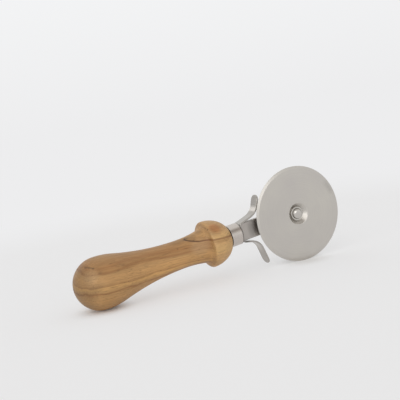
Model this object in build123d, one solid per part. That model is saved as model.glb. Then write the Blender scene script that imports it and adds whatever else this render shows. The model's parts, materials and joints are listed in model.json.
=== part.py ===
from build123d import *

import os
from math import asin, atan2, cos, degrees, radians, sin, tan

# A pizza cutter: a steel wheel turns freely on a rivet at the end of one flat arm. The arm's tang passes
# through a bent finger guard and a drawn ferrule and is driven into a turned wooden handle.
# Millimetres, +Z up. The cutter stands with the wheel upright: the wheel's edge and the handle's butt both
# touch the plane z = 0, +X runs from the butt to the wheel, and the wheel is on the -Y side of the arm.

# Wheel: a pressed disc, ground to an edge on both sides
blade_diameter = 65.0
blade_thickness = 1.0
bevel_width = 1.8
edge_thickness = 0.16
dimple_mouth_diameter = 14.8
dimple_floor_diameter = 9.6
dimple_depth = 2.2
dimple_bend_radius = 0.35

# Shouldered rivet that carries the wheel, with its washers
axle_diameter = 5.0
axle_clearance = 0.05
side_play = 0.1
rivet_head_diameter = 7.6
rivet_head_height = 1.75
rivet_head_shoulder_diameter = 6.6
rivet_head_shoulder_height = 1.1
rivet_head_flat_diameter = 1.8
rivet_tail_diameter = 3.6
rivet_tail_clearance = 0.03
peened_head_diameter = 5.8
peened_head_height = 0.9
peened_head_rim = 0.25
head_washer_diameter = 9.2
head_washer_thickness = 0.3
head_washer_bevel = 0.12
spacer_diameter = 9.0
tail_washer_diameter = 9.0
tail_washer_thickness = 0.8
washer_clearance = 0.04
washer_edge_break = 0.12

# Flat arm and the tang that is driven into the handle
arm_reach = 43.7
arm_height = 11.8
arm_thickness = 3.0
arm_corner_relief = 0.45
arm_edge_break = 0.2
tang_length = 44.0
tang_height = 6.4
tang_tip_height = 4.0
tang_clearance = 0.04

# Finger guard: one bent strip, with its angles measured from the handle's axis
guard_width = 8.0
guard_thickness = 1.1
guard_edge_break = 0.2
guard_tip_flat = 0.8
guard_base_gap = 0.1
guard_base_bend_radius = 1.6
guard_wheel_gap = 0.6
upper_rest_length = 14.1
upper_rest_angle = 15.6
upper_bend_radius = 10.0
upper_tab_length = 12.2
upper_tab_angle = 67.8
lower_rest_length = 11.95
lower_rest_angle = 14.9
lower_bend_radius = 9.0
lower_tab_length = 17.4
lower_tab_angle = 77.7

# Ferrule: a drawn cup over the handle's tenon
ferrule_diameter = 14.9
ferrule_wall = 0.8
ferrule_length = 8.6
ferrule_front_radius = 0.8
ferrule_back_break = 0.2
ferrule_back_gap = 0.8
tenon_clearance = 0.05

# Turned handle
handle_length = 107.9
butt_diameter = 33.6
shoulder_radius = 50.0
waist_diameter = 18.9
swell_rise = 1.65
swell_angle = 12.0
collar_rise = 6.05
collar_back_angle = 80.0
collar_edge_radius = 2.0
dome_length = 14.5
dome_radius = 19.5
dome_angle = 29.0
nose_step = 0.75

# Places along the handle's axis, in a frame with its origin at the wheel's centre line on that axis
shoulder_x = -arm_reach
ferrule_front_x = shoulder_x - guard_thickness
ferrule_back_x = ferrule_front_x - ferrule_length
nose_x = ferrule_back_x - ferrule_back_gap
dome_x = nose_x - dome_length
butt_x = nose_x - handle_length

# Places across the arm: the wheel clears the guard's edge, and its dimple reaches back to the spacer
arm_face_y = -arm_thickness / 2
blade_back_y = -guard_width / 2 - guard_wheel_gap
blade_face_y = blade_back_y - blade_thickness
hub_back_y = blade_back_y + dimple_depth
hub_face_y = hub_back_y - blade_thickness
spacer_y = hub_back_y + side_play
head_washer_y = hub_face_y - side_play
head_seat_y = head_washer_y - head_washer_thickness
head_top_y = head_seat_y - rivet_head_height
tail_washer_y = arm_thickness / 2 + tail_washer_thickness

blade_radius = blade_diameter / 2
axle_radius = axle_diameter / 2
tail_radius = rivet_tail_diameter / 2
butt_radius = butt_diameter / 2
crown_x = butt_x + butt_radius
waist_radius = waist_diameter / 2
ferrule_radius = ferrule_diameter / 2
tenon_radius = ferrule_radius - ferrule_wall - tenon_clearance

# The guard's base wraps the arm's shoulders, whose corners are rounded to clear its bends
guard_root_z = arm_height / 2 + guard_base_gap
arm_corner_radius = guard_base_bend_radius - guard_thickness / 2 + arm_corner_relief

# Nose-up tilt at which the wheel's edge and the ball of the butt stand on one plane
tilt = asin((blade_radius - butt_radius) / -crown_x)
axle_x = (butt_radius - crown_x * cos(tilt) - blade_radius) / 2
standing = Pos(axle_x, 0, blade_radius) * Rot(0, -degrees(tilt), 0)


def turned(axis, *lines):
    return revolve(make_face(Curve() + list(lines)), axis=axis)


def ring(inner_radius, outer_radius, front_y, back_y, front_bevel):
    section = Pos((inner_radius + outer_radius) / 2, (front_y + back_y) / 2) * Rectangle(
        outer_radius - inner_radius, back_y - front_y
    )
    section = chamfer(section.vertices().group_by(Axis.X)[-1].sort_by(Axis.Y)[0], front_bevel)
    section = chamfer(section.vertices().group_by(Axis.X)[-1].sort_by(Axis.Y)[-1], washer_edge_break)
    return revolve(section, axis=Axis.Y)


def tang_outline(clearance):
    # Tapered bar from just inside the arm's shoulder back to the tip
    root = tang_height / 2 + clearance
    tip = tang_tip_height / 2 + clearance
    root_x = shoulder_x + arm_corner_radius
    tip_x = shoulder_x - tang_length - clearance
    return make_face(Polyline((root_x, root), (shoulder_x, root), (tip_x, tip), (tip_x, -tip),
                              (shoulder_x, -root), (root_x, -root), close=True))


def tang_socket():
    return extrude(Plane.XZ * tang_outline(tang_clearance), arm_thickness / 2 + tang_clearance, both=True)


def make_handle():
    swell_radius = swell_rise / (1 - cos(radians(swell_angle)))
    edge_drop = collar_edge_radius * (1 - cos(radians(collar_back_angle)))
    cove_height = collar_rise - edge_drop - swell_rise
    cove_radius = cove_height / (cos(radians(swell_angle)) - cos(radians(collar_back_angle)))
    cove_run = cove_radius * (sin(radians(collar_back_angle)) - sin(radians(swell_angle)))
    edge_run = collar_edge_radius * sin(radians(collar_back_angle))
    waist_x = dome_x - edge_run - cove_run - swell_radius * sin(radians(swell_angle))

    # Shoulder and waist are two arcs that meet halfway down the grip, each level at its outer end
    grip_run = waist_x - crown_x
    grip_drop = butt_radius - waist_radius
    grip_angle = 2 * degrees(atan2(grip_drop, grip_run))
    waist_curve_radius = grip_run / sin(radians(grip_angle)) - shoulder_radius

    butt = JernArc((butt_x, 0), (0, 1), butt_radius, -90)
    shoulder = JernArc(butt @ 1, butt % 1, shoulder_radius, -grip_angle)
    waist = JernArc(shoulder @ 1, shoulder % 1, waist_curve_radius, grip_angle)
    swell = JernArc(waist @ 1, waist % 1, swell_radius, swell_angle)
    cove = JernArc(swell @ 1, swell % 1, cove_radius, collar_back_angle - swell_angle)
    edge = JernArc(cove @ 1, cove % 1, collar_edge_radius, -collar_back_angle)
    dome = JernArc(edge @ 1, edge % 1, dome_radius, -dome_angle)
    nose = TangentArc(dome @ 1, (nose_x, ferrule_radius + nose_step), tangent=dome % 1)
    tenon_x = ferrule_front_x - ferrule_wall - tenon_clearance
    ends = Polyline(nose @ 1, (nose_x, tenon_radius), (tenon_x, tenon_radius), (tenon_x, 0), (butt_x, 0))
    return turned(Axis.X, butt, shoulder, waist, swell, cove, edge, dome, nose, ends) - tang_socket()


def make_ferrule():
    bore = ferrule_radius - ferrule_wall
    end_x = ferrule_front_x - ferrule_wall
    section = make_face(Polyline((ferrule_back_x, bore), (end_x, bore), (end_x, 0), (ferrule_front_x, 0),
                                 (ferrule_front_x, ferrule_radius), (ferrule_back_x, ferrule_radius),
                                 close=True))
    rim = section.vertices().group_by(Axis.Y)[-1].sort_by(Axis.X)
    section = chamfer(rim[0], ferrule_back_break)
    rim = section.vertices().group_by(Axis.Y)[-1].sort_by(Axis.X)
    section = fillet(rim[-1], ferrule_front_radius)
    return revolve(section, axis=Axis.X) - tang_socket()


def bent_side(side, rest_length, rest_angle, tab_length, tab_angle):
    # Root, bend and tip of one side of the strip's middle line, up for side 1 and down for side -1
    root = Vector(shoulder_x - guard_thickness / 2, side * guard_root_z)
    rest = Vector(cos(radians(rest_angle)), side * sin(radians(rest_angle)))
    tab = Vector(cos(radians(tab_angle)), side * sin(radians(tab_angle)))
    bend = root + rest * rest_length
    return root, bend, bend + tab * tab_length


def make_finger_guard():
    upper_root, upper_bend, upper_tip = bent_side(1, upper_rest_length, upper_rest_angle,
                                                  upper_tab_length, upper_tab_angle)
    lower_root, lower_bend, lower_tip = bent_side(-1, lower_rest_length, lower_rest_angle,
                                                  lower_tab_length, lower_tab_angle)
    line = FilletPolyline(upper_tip, upper_bend, upper_root, lower_root, lower_bend, lower_tip,
                          radius=[upper_bend_radius, guard_base_bend_radius,
                                  guard_base_bend_radius, lower_bend_radius])
    strip = extrude(Plane.XZ * trace(line, guard_thickness), guard_width / 2, both=True)
    tip_radius = (guard_width - guard_tip_flat) / 2
    for tip in (upper_tip, lower_tip):
        end = strip.faces().sort_by_distance((tip.X, 0, tip.Y))[0]
        strip = fillet(end.edges().sort_by(SortBy.LENGTH)[:2], tip_radius)
    rims = strip.edges().filter_by(GeomType.CIRCLE)
    return chamfer(rims, guard_edge_break) - tang_socket()


def make_arm():
    plate = Pos(-arm_reach / 2, 0) * Rectangle(arm_reach, arm_height) + Circle(arm_height / 2)
    plate = fillet(plate.vertices().group_by(Axis.X)[0], arm_corner_radius)
    bar = extrude(Plane.XZ * plate, arm_thickness / 2, both=True)
    bar = chamfer(bar.faces().filter_by(Axis.Y).edges(), arm_edge_break)
    tang = extrude(Plane.XZ * tang_outline(0), arm_thickness / 2, both=True)
    hole = extrude(Plane.XZ * Circle(tail_radius + rivet_tail_clearance), arm_thickness, both=True)
    return bar + tang - hole


def make_blade():
    bore = axle_radius + axle_clearance
    floor = dimple_floor_diameter / 2
    mouth = dimple_mouth_diameter / 2
    wall_angle = atan2(dimple_depth, mouth - floor)
    shift = blade_thickness * tan(wall_angle / 2)
    bevel = blade_radius - bevel_width
    middle_y = (blade_face_y + blade_back_y) / 2
    outer_bend = dimple_bend_radius + blade_thickness
    face = FilletPolyline((bore, hub_face_y), (floor, hub_face_y), (mouth, blade_face_y),
                          (bevel, blade_face_y), radius=[dimple_bend_radius, outer_bend])
    back = FilletPolyline((bore, hub_back_y), (floor + shift, hub_back_y), (mouth + shift, blade_back_y),
                          (bevel, blade_back_y), radius=[outer_bend, dimple_bend_radius])
    edge = Polyline((bevel, blade_face_y), (blade_radius, middle_y - edge_thickness / 2),
                    (blade_radius, middle_y + edge_thickness / 2), (bevel, blade_back_y))
    return turned(Axis.Y, face, edge, back, Line((bore, hub_back_y), (bore, hub_face_y)))


def make_axle_rivet():
    # Pan head: sides that lean in to a shoulder, then a low dome with a small flat
    head_radius = rivet_head_diameter / 2
    head_shoulder = (rivet_head_shoulder_diameter / 2, head_seat_y - rivet_head_shoulder_height)
    flat_radius = rivet_head_flat_diameter / 2
    peened_radius = peened_head_diameter / 2
    peened_rim_y = tail_washer_y + peened_head_rim
    peened_top_y = tail_washer_y + peened_head_height
    top = Line((0, head_top_y), (flat_radius, head_top_y))
    dome = TangentArc((flat_radius, head_top_y), head_shoulder, tangent=(1, 0))
    shank = Polyline(head_shoulder, (head_radius, head_seat_y), (axle_radius, head_seat_y),
                     (axle_radius, arm_face_y), (tail_radius, arm_face_y), (tail_radius, tail_washer_y),
                     (peened_radius, tail_washer_y), (peened_radius, peened_rim_y))
    peened = TangentArc((0, peened_top_y), (peened_radius, peened_rim_y), tangent=(1, 0))
    return turned(Axis.Y, top, dome, shank, peened, Line((0, peened_top_y), (0, head_top_y)))


pieces = {
    "handle": make_handle(),
    "ferrule": make_ferrule(),
    "finger_guard": make_finger_guard(),
    "arm": make_arm(),
    "blade": make_blade(),
    "axle_rivet": make_axle_rivet(),
    "head_washer": ring(axle_radius + washer_clearance, head_washer_diameter / 2, head_seat_y, head_washer_y,
                        head_washer_bevel),
    "spacer": ring(axle_radius + washer_clearance, spacer_diameter / 2, spacer_y, arm_face_y,
                   washer_edge_break),
    "tail_washer": ring(tail_radius + washer_clearance, tail_washer_diameter / 2, arm_thickness / 2,
                        tail_washer_y, washer_edge_break),
}

os.makedirs("parts", exist_ok=True)
for name, piece in pieces.items():
    export_step(standing * piece, f"parts/{name}.step")
print(f"tilt {degrees(tilt):.3f} deg, wheel centre x {axle_x:.3f} z {blade_radius:.3f}")
print(f"wheel face y {blade_face_y:.2f}, rivet head y {head_top_y:.2f}, butt end {-butt_x:.2f} from axle")
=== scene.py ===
import json
from functools import partial
from math import atan2, cos, pi, radians, sin

import bpy
from mathutils import Matrix, Vector


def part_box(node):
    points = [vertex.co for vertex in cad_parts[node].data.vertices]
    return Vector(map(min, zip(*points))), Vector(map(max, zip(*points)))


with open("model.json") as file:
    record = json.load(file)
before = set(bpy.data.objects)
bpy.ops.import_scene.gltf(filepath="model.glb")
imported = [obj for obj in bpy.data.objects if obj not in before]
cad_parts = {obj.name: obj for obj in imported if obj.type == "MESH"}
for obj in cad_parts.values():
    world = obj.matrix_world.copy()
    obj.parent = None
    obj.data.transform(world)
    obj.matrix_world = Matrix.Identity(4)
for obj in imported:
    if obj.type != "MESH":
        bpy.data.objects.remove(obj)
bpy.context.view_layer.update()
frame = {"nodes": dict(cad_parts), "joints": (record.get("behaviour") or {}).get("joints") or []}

# Pizza cutter: turned handle, drawn ferrule, bent finger guard, flat arm and a riveted wheel.
# Patterns are worked out in millimetres in the tool's own frame, with its origin where the handle's axis
# meets the axle's line: x runs along the tool to the wheel, y through to the arm's back, z up.

millimetre = 0.001
handleLow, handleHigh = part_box("handle")
axle = Vector(frame["joints"][0]["pos_m"])
buttRadius = (handleHigh.y - handleLow.y) / 2
buttCentre = Vector((handleLow.x + buttRadius, 0, handleLow.z + buttRadius))
noseUp = atan2(axle.z - buttCentre.z, axle.x - buttCentre.x)  # how far the tool rises from butt to wheel
toolTurn = Matrix.Rotation(-noseUp, 3, "Y")
alongTool = toolTurn @ Vector((1, 0, 0))

# Settings that many nodes share
smooth = {"interpolation_type": "SMOOTHSTEP"}
mixColours = {"data_type": "RGBA"}
mixNumbers = {"data_type": "FLOAT"}
multiplyColours = {"data_type": "RGBA", "blend_type": "MULTIPLY", 0: 1.0}
noiseRange = {"From Min": 0.3, "From Max": 0.7}  # where most values of a noise lie

acrossHandle = (0, 1, 1)  # what counts in a distance from the handle's axis
acrossAxle = (1, 0, 1)  # what counts in a distance from the axle
markCore = 0.2  # a mark is at full strength within this share of its size


def toLinear(hexColour):
    channels = [int(hexColour[i:i + 2], 16) / 255 for i in (1, 3, 5)]
    return [c / 12.92 if c <= 0.04045 else ((c + 0.055) / 1.055) ** 2.4 for c in channels] + [1.0]


def addNode(tree, kind, settings=None, links=None):
    node = tree.nodes.new("ShaderNode" + kind)
    for name, value in (settings or {}).items():
        if name == "stops":  # places and colours along a colour ramp
            stops = node.color_ramp.elements
            while len(stops) < len(value):
                stops.new(1.0)
            for stop, (place, colour) in zip(stops, value):
                stop.position = place
                stop.color = toLinear(colour)
        elif isinstance(name, int) or name in node.inputs:
            node.inputs[name].default_value = value
        else:
            setattr(node, name, value)
    for name, source in (links or {}).items():
        tree.links.new(source, node.inputs[name])
    return next(out for out in node.outputs if out.enabled) if node.outputs else node


def newMaterial(name):
    material = bpy.data.materials.new(name)
    material.use_nodes = True
    material.node_tree.nodes.clear()
    return material, material.node_tree


def toolPoint(tree, turn=toolTurn):
    here = addNode(tree, "TexCoord").node.outputs["Object"]
    settings = {"vector_type": "TEXTURE", "Location": (axle.x, 0, axle.z), "Rotation": turn.to_euler(),
                "Scale": (millimetre,) * 3}
    return addNode(tree, "Mapping", settings, {"Vector": here})


def distanceFrom(tree, point, across):
    flat = addNode(tree, "VectorMath", {"operation": "MULTIPLY", 1: across}, {0: point})
    return addNode(tree, "VectorMath", {"operation": "LENGTH"}, {0: flat})


def markShades(tree, point, marks):
    add = partial(addNode, tree)
    shades = []
    for spot, length, width, kept in marks:
        off = add("VectorMath", {"operation": "SUBTRACT", 1: spot}, {0: point})
        off = add("VectorMath", {"operation": "DIVIDE", 1: (length, width, width)}, {0: off})
        off = add("VectorMath", {"operation": "LENGTH"}, {0: off})
        shades.append(add("MapRange", {**smooth, "From Min": 1.0, "From Max": markCore, "To Min": 1.0,
                                       "To Max": kept}, {"Value": off}))
    return shades


def shadeColour(tree, colour, shades):
    for shade in shades:
        colour = addNode(tree, "Mix", multiplyColours, {6: colour, 7: shade})
    return colour


# Oiled hardwood, turned and sanded: golden brown growth layers that the turning cuts into long lines, fine
# fibres and short pores along the grain, one dark seam at the collar, and a dull sheen from the oil.
wood = {
    "grainAcross": (0.12, -0.20, 1.0),  # direction through the growth layers
    # Tones of the wood, and its growth layers by depth: first of the grip, then of the paler nose
    "tones": {"pale": "#BE935A", "honey": "#B68B57", "tan": "#AE8655", "brown": "#A27849", "dark": "#986C3F",
              "straw": "#C29C67", "wheat": "#BE9664"},
    "layers": [(-36, "tan"), (-31, "honey"), (-27.5, "tan"), (-23, "honey"), (-19.5, "tan"), (-18.3, "dark"),
               (-17, "tan"), (-16, "pale"), (-15, "pale"), (-14, "brown"), (-13, "honey"), (-9.5, "honey"),
               (-8, "tan"), (-6.5, "dark"), (-5.5, "brown"), (-4, "dark"), (-3, "brown"), (-2, "brown"),
               (0.5, "tan"), (2.5, "honey"), (4.5, "tan"), (9, "honey")],
    "noseLayers": [(-20, "wheat"), (-12, "wheat"), (-9, "straw"), (-5, "straw"), (-3, "wheat"), (-2, "tan"),
                   (0, "straw"), (2, "wheat"), (4.5, "tan"), (9, "wheat")],
    "nose": (-72.0, -69.5),  # where the grip's wood gives way to the nose's
    # Figure: sizes along and across the grain. Waves and ripples bend the layers by their height
    "wave": {"size": (90.0, 16.0), "detail": 1.0, "height": 1.2},
    "ripple": {"size": (35.0, 4.5), "detail": 2.0, "height": 0.8},
    "bendRange": {"From Min": 0.25, "From Max": 0.75},
    "streak": {"size": 0.8, "detail": 2.0, "shade": (0.90, 1.07)},
    "fibre": {"size": (14.0, 0.7), "detail": 3.0, "shade": (0.88, 1.09)},  # drawn coarser so that it shows
    "pore": {"size": (5.0, 0.6), "detail": 1.0, "from": 0.62, "to": 0.72, "shade": 0.72},
    # Seam: a bent sheet through the collar, dark behind it and brown over the nose
    "seam": {"lean": -0.142, "rise": 0.41, "fall": -1.75, "floor": -5.25, "leastSlope": 0.15,
             "half": (0.38, 0.60), "edge": (1.7, 0.5), "colour": ("#3A1A08", "#6A3410"),
             "strength": (0.91, 0.50), "turn": (-81.0, -70.0), "opens": (-90.0, -86.0),
             "fades": (-4.0, -1.5), "farShare": 0.12},
    # Small dark marks: place, length along, width across, and how much light they keep
    "marks": [((-70.3, -9.4, 11.2), 1.1, 0.9, 0.55), ((-70.6, -7.4, 11.9), 0.9, 0.8, 0.72),
              ((-93.0, -7.6, 5.4), 1.0, 1.0, 0.70), ((-81.0, -7.6, -6.4), 0.9, 0.7, 0.65),
              ((-84.6, -3.4, 8.9), 3.0, 2.2, 0.68), ((-82.0, -3.6, 9.2), 8.5, 4.0, 0.78),
              ((-147.3, -13.9, 9.1), 2.2, 1.3, 0.80), ((-138.8, -11.3, 11.8), 2.0, 0.9, 0.76),
              ((-80.8, -6.4, 7.6), 4.0, 2.2, 0.82), ((-149.9, -10.5, 12.3), 1.6, 1.0, 0.80),
              ((-136.2, -14.4, 6.7), 2.0, 0.9, 0.80), ((-131.8, -12.2, 8.6), 2.2, 0.9, 0.78)],
    # Soft clouds, given like the marks, and paler where the last number is over one; the long pale cloud low
    # on the grip is painted light
    "clouds": [((-74.1, -3.2, 10.5), 3.4, 4.2, 0.76), ((-70.6, -9.6, -10.3), 4.0, 4.0, 0.80),
               ((-90.9, -3.4, 8.9), 6.0, 4.0, 0.86), ((-69.0, -12.4, 9.2), 4.0, 4.0, 0.86),
               ((-152.4, -15.2, 0.9), 8.0, 4.5, 0.80), ((-140.3, -13.2, 10.0), 8.0, 4.0, 1.16),
               ((-101.0, -9.4, -3.6), 20.0, 4.5, 1.14)],
    # Patches of other wood: warm on the nose, plain and greyer behind the collar and on the butt
    "patches": [{"at": (-65.5, -10.4, 11.0), "radius": 5.4, "colour": "#A0683A", "strength": 0.75},
                {"at": (-78.5, -10.2, 2.7), "radius": 8.0, "colour": "#AC885F", "strength": 0.62},
                {"at": (-153.0, -12.1, 8.6), "radius": 6.5, "colour": "#B28F62", "strength": 0.40}],
    "patchCore": 0.4,  # share of a patch's radius that has its full strength
    "crack": {"from": (-153.4, -5.8, 13.7), "to": (-149.7, -10.6, 12.4), "half": 1.0, "shade": 0.62},
    "bands": [{"from": -151.0, "to": -157.0, "shade": 0.76},  # the butt's end has drunk the most oil
              {"from": -132.0, "to": -112.0, "shade": 1.07}],  # paler from the waist forward
    "groove": {"from": -54.65, "to": -54.3, "shade": 0.18, "radius": (7.8, 8.5)},  # painted shade in the groove beside the ferrule
    "endGrain": {"from": 0.55, "to": 0.97, "shade": 0.88},  # by how far the surface faces along the tool
    "roughness": (0.42, 0.58), "grainDepth": 0.09, "grainStrength": 0.5, "ior": 1.5,
}


def seamInWood(tree, seam, point, normal):
    add = partial(addNode, tree)
    place = add("SeparateXYZ", links={"Vector": point}).node.outputs
    # The sheet falls along the tool, and towards the near side down to a floor
    level = add("Math", {"operation": "MULTIPLY_ADD", 1: seam["rise"], 2: seam["fall"]}, {0: place["Y"]})
    level = add("Math", {"operation": "MAXIMUM", 1: seam["floor"]}, {0: level})
    level = add("Math", {"operation": "MULTIPLY_ADD", 1: seam["lean"]}, {0: place["X"], 2: level})
    off = add("Math", {"operation": "SUBTRACT"}, {0: place["Z"], 1: level})
    off = add("Math", {"operation": "ABSOLUTE"}, {0: off})
    # Height over slope is the distance along the surface, so the line keeps its width all the way
    steep = Vector((-seam["lean"], -seam["rise"], 1))
    slope = add("VectorMath", {"operation": "DOT_PRODUCT", 1: toolTurn @ steep}, {0: normal})
    slope = add("Math", {"operation": "MULTIPLY"}, {0: slope, 1: slope})
    slope = add("Math", {"operation": "SUBTRACT", 0: steep.length_squared}, {1: slope})
    slope = add("Math", {"operation": "SQRT"}, {0: slope})
    slope = add("Math", {"operation": "MAXIMUM", 1: seam["leastSlope"]}, {0: slope})
    off = add("Math", {"operation": "DIVIDE"}, {0: off, 1: slope})
    # Over the collar's turn it grows wider, weaker and browner
    turn = add("MapRange", {"From Min": seam["turn"][0], "From Max": seam["turn"][1]},
               {"Value": place["X"]})
    half, strength = [add("MapRange", {"To Min": seam[name][0], "To Max": seam[name][1]}, {"Value": turn})
                      for name in ("half", "strength")]
    behind, over = [toLinear(tone) for tone in seam["colour"]]
    stain = add("Mix", {**mixColours, 6: behind, 7: over}, {0: turn})
    off = add("Math", {"operation": "DIVIDE"}, {0: off, 1: half})
    share = add("MapRange", {**smooth, "From Min": seam["edge"][0], "From Max": seam["edge"][1]},
                {"Value": off})
    opened = add("MapRange", {"From Min": seam["opens"][0], "From Max": seam["opens"][1]},
                 {"Value": place["X"]})
    faded = add("MapRange", {"From Min": seam["fades"][0], "From Max": seam["fades"][1], "To Min": 1.0,
                             "To Max": seam["farShare"]}, {"Value": place["Y"]})
    for factor in (opened, faded, strength):
        share = add("Math", {"operation": "MULTIPLY"}, {0: share, 1: factor})
    return share, stain


def crackInWood(tree, crack, point):
    add = partial(addNode, tree)
    # A fine dark line, by the distance from the nearest point between its ends
    run = Vector(crack["to"]) - Vector(crack["from"])
    fromStart = add("VectorMath", {"operation": "SUBTRACT", 1: crack["from"]}, {0: point})
    share = add("VectorMath", {"operation": "DOT_PRODUCT", 1: run}, {0: fromStart})
    share = add("MapRange", {"From Max": run.length_squared}, {"Value": share})
    nearest = add("VectorMath", {"operation": "SCALE", 0: run}, {"Scale": share})
    off = add("VectorMath", {"operation": "DISTANCE"}, {0: fromStart, 1: nearest})
    return add("MapRange", {**smooth, "From Min": crack["half"], "From Max": markCore * crack["half"],
                            "To Min": 1.0, "To Max": crack["shade"]}, {"Value": off})


def makeWood(look):
    material, tree = newMaterial("oiled_turned_hardwood")
    add = partial(addNode, tree)
    point = toolPoint(tree)
    along = add("SeparateXYZ", links={"Vector": point})
    normal = add("TexCoord").node.outputs["Normal"]
    toLayers = Vector((0, 0, 1)).rotation_difference(Vector(look["grainAcross"])).to_matrix()
    grain = toolPoint(tree, toolTurn @ toLayers)
    depth = add("SeparateXYZ", links={"Vector": grain}).node.outputs["Z"]

    # Noise drawn out along the grain, one for each size of figure
    figure = {}
    for name in ("wave", "ripple", "fibre", "pore"):
        length, width = look[name]["size"]
        drawn = add("Mapping", {"Scale": (1 / length, 1 / width, 1 / width)}, {"Vector": grain})
        figure[name] = add("TexNoise", {"Scale": 1.0, "Detail": look[name]["detail"]}, {"Vector": drawn})
    for name in ("wave", "ripple"):
        height = look[name]["height"]
        shift = add("MapRange", {**look["bendRange"], "To Min": -height, "To Max": height},
                    {"Value": figure[name]})
        depth = add("Math", {"operation": "ADD"}, {0: depth, 1: shift})
    figure["streak"] = add("TexNoise", {"noise_dimensions": "1D", "Scale": 1 / look["streak"]["size"],
                                        "Detail": look["streak"]["detail"]}, {"W": depth})

    # Colours of the layers, with the patches of other wood
    woods = []
    for name in ("layers", "noseLayers"):
        first, last = look[name][0][0], look[name][-1][0]
        share = add("MapRange", {"From Min": first, "From Max": last}, {"Value": depth})
        stops = [((layer - first) / (last - first), look["tones"][tone]) for layer, tone in look[name]]
        woods.append(add("ValToRGB", {"stops": stops}, {"Fac": share}))
    onNose = add("MapRange", {**smooth, "From Min": look["nose"][0], "From Max": look["nose"][1]},
                 {"Value": along})
    colour = add("Mix", mixColours, {0: onNose, 6: woods[0], 7: woods[1]})
    for patch in look["patches"]:
        off = add("VectorMath", {"operation": "DISTANCE", 1: patch["at"]}, {0: point})
        inPatch = add("MapRange", {**smooth, "From Min": patch["radius"],
                                   "From Max": look["patchCore"] * patch["radius"],
                                   "To Max": patch["strength"]}, {"Value": off})
        colour = add("Mix", {**mixColours, 7: toLinear(patch["colour"])}, {0: inPatch, 6: colour})

    # Shades: streaks, fibres and pores, slow changes along the handle, painted shade in the groove beside
    # the ferrule, and end grain, which drinks more oil where the surface faces along the tool
    pore = look["pore"]
    poreShade = add("MapRange", {"From Min": pore["from"], "From Max": pore["to"], "To Min": 1.0,
                                 "To Max": pore["shade"]}, {"Value": figure["pore"]})
    shades = [poreShade]
    for name in ("streak", "fibre"):
        low, high = look[name]["shade"]
        shade = add("MapRange", {**noiseRange, "To Min": low, "To Max": high}, {"Value": figure[name]})
        shades.append(shade)
    facing = add("VectorMath", {"operation": "DOT_PRODUCT", 1: alongTool}, {0: normal})
    facing = add("Math", {"operation": "ABSOLUTE"}, {0: facing})
    changes = [(along, look["groove"]), (facing, look["endGrain"])]
    changes += [(along, band) for band in look["bands"]]
    paintedGapShade, *slow = [add("MapRange", {**smooth, "From Min": change["from"], "From Max": change["to"],
                                    "To Min": 1.0, "To Max": change["shade"]}, {"Value": value})
                   for value, change in changes]
    # Painted shade in the groove, kept within a ring close to the ferrule
    inner, outer = look["groove"]["radius"]
    beyondGroove = add("MapRange", {"From Min": inner, "From Max": outer},
                {"Value": distanceFrom(tree, point, acrossHandle)})
    paintedGapShade = add("Mix", {**mixNumbers, 3: 1.0}, {0: beyondGroove, 2: paintedGapShade})
    shades += slow + [paintedGapShade, crackInWood(tree, look["crack"], point)]
    shades += markShades(tree, point, look["marks"] + look["clouds"])
    colour = shadeColour(tree, colour, shades)
    inSeam, stain = seamInWood(tree, look["seam"], point, normal)
    colour = add("Mix", mixColours, {0: inSeam, 6: colour, 7: stain})

    # Relief of fibres and pores, sunk along the seam
    low, high = look["roughness"]
    roughness = add("MapRange", {**noiseRange, "To Min": high, "To Max": low}, {"Value": figure["fibre"]})
    offSeam = add("Math", {"operation": "SUBTRACT", 0: 1.0}, {1: inSeam})
    relief = add("Math", {"operation": "MULTIPLY"}, {0: figure["fibre"], 1: poreShade})
    relief = add("Math", {"operation": "MULTIPLY"}, {0: relief, 1: offSeam})
    bump = add("Bump", {"Strength": look["grainStrength"], "Distance": look["grainDepth"] * millimetre},
               {"Height": relief})
    shader = add("BsdfPrincipled", {"IOR": look["ior"]},
                 {"Base Color": colour, "Roughness": roughness, "Normal": bump})
    add("OutputMaterial", links={"Surface": shader})
    return material


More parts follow.
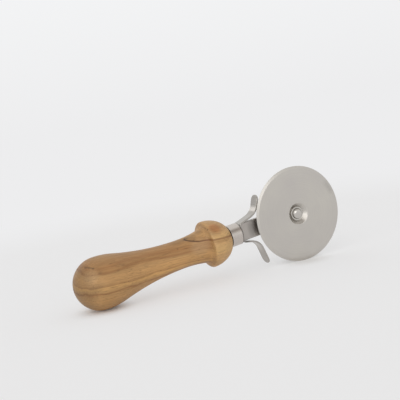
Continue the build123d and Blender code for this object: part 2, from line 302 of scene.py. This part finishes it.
# Steel in five finishes. Rolling, drawing, turning and grinding leave fine lines along or round the piece,
# which draw reflections out, and handling leaves faint clouds. The lines are drawn coarser than they are, so
# that they show. Edges are eased by a fraction of a millimetre and catch the light.
anySteel = {
    "detail": 3.0, "lineStretch": 25.0, "lineShade": (0.96, 1.03), "lineStrength": 0.4, "edgeSamples": 6,
    "jointShadingRim": 0.6, "jointShadingInside": 0.8,  # how softly the painted shade at a rim ends, and the light kept inside it
}
steels = {
    # Wheel: an even satin face with fine rings, plain in the dimple and on the bevel
    "ground_stainless_steel": {
        "light": "#CECAC1", "dark": "#C2BDB9", "cloudSize": 16.0, "roughness": (0.29, 0.35),
        "lines": "round axle", "lineSize": 0.5, "lineDepth": 0.003, "edge": 0.12,
        "face": {"radii": (7.9, 30.6), "soft": 0.3, "plainLevel": 0.6},
        # A faint stain near the edge: places, length, width, and how much light it keeps
        "marks": [((29.0, -5.6, 7.4), 3.0, 3.0, 0.91), ((28.4, -5.6, 9.8), 3.0, 3.0, 0.91),
                  ((27.4, -5.6, 12.0), 3.0, 3.0, 0.91), ((26.2, -5.6, 14.2), 3.0, 3.0, 0.93)]},
    # Arm: grey and dull, with faint lines along it
    "cold_rolled_steel_bar": {
        "light": "#BBB5AF", "dark": "#AFA9A3", "cloudSize": 6.0, "roughness": (0.38, 0.47),
        "lines": "along", "lineSize": 0.5, "lineDepth": 0.008, "edge": 0.15,
        "marks": [((-35.7, -1.5, 0.0), 3.9, 9.0, 0.75)]},  # painted shade on the arm beside the wheel
    # Guard: smoother than the arm, so its bends show bright and dark bands
    "cold_rolled_steel_strip": {
        "light": "#B7B2AC", "dark": "#ABA6A0", "cloudSize": 6.0, "roughness": (0.20, 0.265),
        "lines": "along", "lineSize": 0.5, "lineDepth": 0.008, "edge": 0.15,
        "marks": [((-31.0, 0.0, -12.5), 5.0, 6.0, 1.3),  # painted highlight at the lower bend
                  ((-42.2, -4.0, -6.3), 4.4, 1.9, 0.5)]},  # painted shade where the strip leaves the arm
    # Ferrule: smooth with fine rings, so the room shows as bands along it, and painted shade at both ends,
    # where it meets the guard and the handle
    "drawn_steel": {
        "light": "#CFC7C0", "dark": "#C3BBB4", "cloudSize": 7.0, "roughness": (0.18, 0.262),
        "lines": "round handle", "lineSize": 0.5, "lineDepth": 0.006, "edge": 0.15,
        "jointShading": [{"from": -46.1, "to": -45.2, "shade": 0.16, "inside": 6.3},
                  {"from": -53.1, "to": -53.35, "shade": 0.25, "inside": 0.0}]},
    # Rivet, washers and spacer: fine rings and small bright highlights, with painted shade round the rivet's
    # head
    "turned_steel": {
        "light": "#CFCBC5", "dark": "#C3BFB9", "cloudSize": 4.0, "roughness": (0.18, 0.265),
        "lines": "round axle", "lineSize": 0.35, "lineDepth": 0.006, "edge": 0.30,
        "ring": {"radius": 3.55, "half": 0.35, "core": 0.5, "shade": 0.58}},
}
steelPieces = {
    "blade": "ground_stainless_steel", "arm": "cold_rolled_steel_bar",
    "finger_guard": "cold_rolled_steel_strip", "ferrule": "drawn_steel", "axle_rivet": "turned_steel",
    "head_washer": "turned_steel", "spacer": "turned_steel", "tail_washer": "turned_steel",
}


def linesInSteel(tree, look, point, along, fromAxle):
    add = partial(addNode, tree)
    fine = {"Scale": 1 / look["lineSize"], "Detail": look["detail"]}
    if look["lines"] == "along":  # along the bent strip or bar, and fine across its width
        drawn = add("Mapping", {"Scale": (1 / look["lineStretch"], 1, 1 / look["lineStretch"])},
                    {"Vector": point})
        return add("TexNoise", fine, {"Vector": drawn})
    rings = fromAxle if look["lines"] == "round axle" else along  # about the axle or the handle's axis
    lines = add("TexNoise", {"noise_dimensions": "1D", **fine}, {"W": rings})
    if "face" in look:
        face = look["face"]
        inner, outer = [add("MapRange", {**smooth, "From Min": radius - face["soft"],
                                         "From Max": radius + face["soft"]}, {"Value": fromAxle})
                        for radius in face["radii"]]
        onFace = add("Math", {"operation": "SUBTRACT"}, {0: inner, 1: outer})
        lines = add("Mix", {**mixNumbers, 2: face["plainLevel"]}, {0: onFace, 3: lines})
    return lines


def stainsAndPaintedLightOnSteel(tree, look, point, along, fromAxle):
    add = partial(addNode, tree)
    shades = markShades(tree, point, look.get("marks", []))
    # Painted shade in a ring about the axle, at the foot of the rivet's head
    if "ring" in look:
        ring = look["ring"]
        off = add("Math", {"operation": "SUBTRACT", 1: ring["radius"]}, {0: fromAxle})
        off = add("Math", {"operation": "ABSOLUTE"}, {0: off})
        shades.append(add("MapRange", {**smooth, "From Min": ring["half"],
                                       "From Max": ring["core"] * ring["half"], "To Min": 1.0,
                                       "To Max": ring["shade"]}, {"Value": off}))
    # Painted shade at the ferrule's ends, in the gaps where it meets the guard and the handle
    for jointShading in look.get("jointShading", []):
        paintedGapShade = add("MapRange", {"From Min": jointShading["from"], "From Max": jointShading["to"], "To Min": 1.0,
                                "To Max": jointShading["shade"]}, {"Value": along})
        rim = add("MapRange", {"From Min": jointShading["inside"], "From Max": jointShading["inside"] + look["jointShadingRim"]},
                  {"Value": distanceFrom(tree, point, acrossHandle)})
        shades.append(add("Mix", {**mixNumbers, 2: look["jointShadingInside"]}, {0: rim, 3: paintedGapShade}))
    return shades


def makeSteel(name, look):
    material, tree = newMaterial(name)
    add = partial(addNode, tree)
    point = toolPoint(tree)
    along = add("SeparateXYZ", links={"Vector": point})
    fromAxle = distanceFrom(tree, point, acrossAxle)
    lines = linesInSteel(tree, look, point, along, fromAxle)
    cloud = add("TexNoise", {"Scale": 1 / look["cloudSize"], "Detail": look["detail"]}, {"Vector": point})
    colour = add("Mix", {**mixColours, 6: toLinear(look["dark"]), 7: toLinear(look["light"])}, {0: cloud})
    low, high = look["lineShade"]
    lineShade = add("MapRange", {**noiseRange, "To Min": low, "To Max": high}, {"Value": lines})
    colour = shadeColour(tree, colour, [lineShade] + stainsAndPaintedLightOnSteel(tree, look, point, along, fromAxle))
    low, high = look["roughness"]
    roughness = add("MapRange", {**noiseRange, "To Min": low, "To Max": high}, {"Value": cloud})
    eased = add("Bevel", {"samples": look["edgeSamples"], "Radius": look["edge"] * millimetre})
    bump = add("Bump", {"Strength": look["lineStrength"], "Distance": look["lineDepth"] * millimetre},
               {"Height": lines, "Normal": eased})
    shader = add("BsdfPrincipled", {"Metallic": 1.0},
                 {"Base Color": colour, "Roughness": roughness, "Normal": bump})
    add("OutputMaterial", links={"Surface": shader})
    return material


finishes = {name: makeSteel(name, {**anySteel, **look}) for name, look in steels.items()}
woodFinish = makeWood(wood)
for name, node in frame["nodes"].items():
    node.data.materials.clear()
    node.data.materials.append(woodFinish if name == "handle" else finishes[steelPieces[name]])
print("materials done")

# Pale paper floor that fades into a pale room, under soft light from the upper left. Shiny pieces show the
# room: its colour goes round from the front horizon (0) over the ceiling (0.5) to the back horizon (1), with
# a darker stretch high up in front. It is darker towards the butt's side, and straight past the wheel.
stage = {
    "floorSize": 8.0, "floor": "#F0EFEE", "fade": (0.0, 0.6), "backdrop": "#EDEDEE",
    "glow": 0.55,  # how much of the backdrop the paper shows the eye, which softens the shadow
    "contact": (0.004, 0.022),  # near the butt and the wheel's edge the shadow stays dark
    "room": [(0.0, "#EDEDEE"), (0.11, "#F6F7F7"), (0.21, "#D0CCC8"), (0.30, "#A9A39E"), (0.38, "#C2BEBA"),
             (0.44, "#F1F2F0"), (0.55, "#F8F9F9"), (0.90, "#F6F7F7"), (1.0, "#EDEDEE")],
    "sides": [{"from": -0.10, "to": -0.42, "shade": 0.80}, {"from": 0.84, "to": 0.97, "shade": 0.50}],
    "wallTop": "#F6F7F8", "wallHeight": 0.25,  # what the eye sees behind: the backdrop, paler higher up
    "fill": 0.74, "fillColour": "#FFFFFF",
    "lamps": {"window": {"energy": 0.8, "angle": 60.0, "from": (-0.65, -0.65, 0.45)},
              "frontWindow": {"energy": 0.13, "angle": 20.0, "from": (0.05, -0.98, 0.20)},
              "backWindow": {"energy": 0.085, "angle": 19.0, "from": (-0.295, 0.90, 0.295)}},
}


def raysSeen(tree):
    path = addNode(tree, "LightPath").node.outputs
    mirrored = addNode(tree, "Math", {"operation": "MAXIMUM"},
                       {0: path["Is Glossy Ray"], 1: path["Is Transmission Ray"]})
    return path["Is Camera Ray"], mirrored


def makeFloor(look):
    bpy.ops.mesh.primitive_plane_add(size=look["floorSize"])
    floor = bpy.context.object
    floor.name = "floor"
    material, tree = newMaterial("pale_paper")
    add = partial(addNode, tree)
    place = add("TexCoord").node.outputs["Object"]
    far = add("VectorMath", {"operation": "LENGTH"}, {0: place})
    fade = add("MapRange", {**smooth, "From Min": look["fade"][0], "From Max": look["fade"][1]},
               {"Value": far})
    direct, mirrored = raysSeen(tree)
    seen = add("Math", {"operation": "MAXIMUM"}, {0: direct, 1: mirrored})
    glow = add("Math", {"operation": "MULTIPLY", 1: look["glow"]}, {0: seen})
    for touching in ((buttCentre.x, 0, 0), (axle.x, axle.y, 0)):
        off = add("VectorMath", {"operation": "DISTANCE", 1: touching}, {0: place})
        clear = add("MapRange", {**smooth, "From Min": look["contact"][0], "From Max": look["contact"][1]},
                    {"Value": off})
        glow = add("Math", {"operation": "MULTIPLY"}, {0: glow, 1: clear})
    fade = add("Math", {"operation": "MAXIMUM"}, {0: fade, 1: glow})
    paper = add("BsdfDiffuse", {"Color": toLinear(look["floor"])})
    haze = add("Emission", {"Color": toLinear(look["backdrop"])})
    shader = add("MixShader", links={0: fade, 1: paper, 2: haze})
    add("OutputMaterial", links={"Surface": shader})
    floor.data.materials.append(material)


def makeRoom(look):
    world = bpy.data.worlds.new("soft_room")
    bpy.context.scene.world = world
    world.use_nodes = True
    tree = world.node_tree
    tree.nodes.clear()
    add = partial(addNode, tree)
    heading = add("TexCoord").node.outputs["Generated"]
    heading = add("SeparateXYZ", links={"Vector": heading}).node.outputs
    front = add("Math", {"operation": "MULTIPLY", 1: -1.0}, {0: heading["Y"]})
    over = add("Math", {"operation": "ARCTAN2"}, {0: heading["Z"], 1: front})
    over = add("Math", {"operation": "DIVIDE", 1: pi}, {0: over})
    room = add("ValToRGB", {"stops": look["room"]}, {"Fac": over})
    sides = [add("MapRange", {**smooth, "From Min": side["from"], "From Max": side["to"], "To Min": 1.0,
                              "To Max": side["shade"]}, {"Value": heading["X"]}) for side in look["sides"]]
    room = shadeColour(tree, room, sides)
    high = add("MapRange", {"From Max": look["wallHeight"]}, {"Value": heading["Z"]})
    wall = add("Mix", {**mixColours, 6: toLinear(look["backdrop"]), 7: toLinear(look["wallTop"])}, {0: high})
    light = add("Background", {"Color": toLinear(look["fillColour"]), "Strength": look["fill"]})
    direct, mirrored = raysSeen(tree)
    for rays, colour in ((mirrored, room), (direct, wall)):
        shown = add("Background", {"Strength": 1.0}, {"Color": colour})
        light = add("MixShader", links={0: rays, 1: light, 2: shown})
    add("OutputWorld", links={"Surface": light})


def hangLamps(lamps):
    for name, look in lamps.items():
        sun = bpy.data.lights.new(name, "SUN")
        sun.energy = look["energy"]
        sun.angle = radians(look["angle"])
        lamp = bpy.data.objects.new(name, sun)
        lamp.rotation_mode = "QUATERNION"
        lamp.rotation_quaternion = Vector(look["from"]).to_track_quat("Z", "Y")
        bpy.context.scene.collection.objects.link(lamp)


makeFloor(stage)
makeRoom(stage)
hangLamps(stage["lamps"])
print("stage done")

# Camera: as far off and turned as the photograph's, with the wheel's centre on the same pixel
camera = {"distance": 0.550, "azimuth": -25.14, "elevation": 2.17, "noseUp": 16.0, "focalPixels": 805.5,
          "wheelPixel": (298.05, 213.5), "imageSide": 400, "sensor": 36.0, "nearest": 0.01}


def placeCamera(look):
    turn, rise = radians(look["azimuth"]), radians(look["elevation"])
    back = Vector((sin(turn) * cos(rise), -cos(turn) * cos(rise), sin(rise)))
    right = Vector((cos(turn), sin(turn), 0))
    up = back.cross(right)
    # The tool rests with its nose lower than in the photograph, so the camera turns by the difference
    lower = Matrix.Rotation(radians(look["noseUp"]) - noseUp, 3, "Y")
    back, right, up = lower @ back, lower @ right, lower @ up
    middle = look["imageSide"] / 2
    across = (look["wheelPixel"][0] - middle) / look["focalPixels"] * look["distance"]
    above = (middle - look["wheelPixel"][1]) / look["focalPixels"] * look["distance"]
    lens = bpy.data.cameras.new("camera")
    lens.sensor_width = look["sensor"]
    lens.lens = look["focalPixels"] / look["imageSide"] * look["sensor"]
    lens.clip_start = look["nearest"]
    eye = bpy.data.objects.new("camera", lens)
    place = axle + back * look["distance"] - right * across - up * above
    eye.matrix_world = Matrix.Translation(place) @ Matrix((right, up, back)).transposed().to_4x4()
    bpy.context.scene.collection.objects.link(eye)
    bpy.context.scene.camera = eye


placeCamera(camera)
bpy.context.scene.view_settings.view_transform = "Standard"
print("camera done")
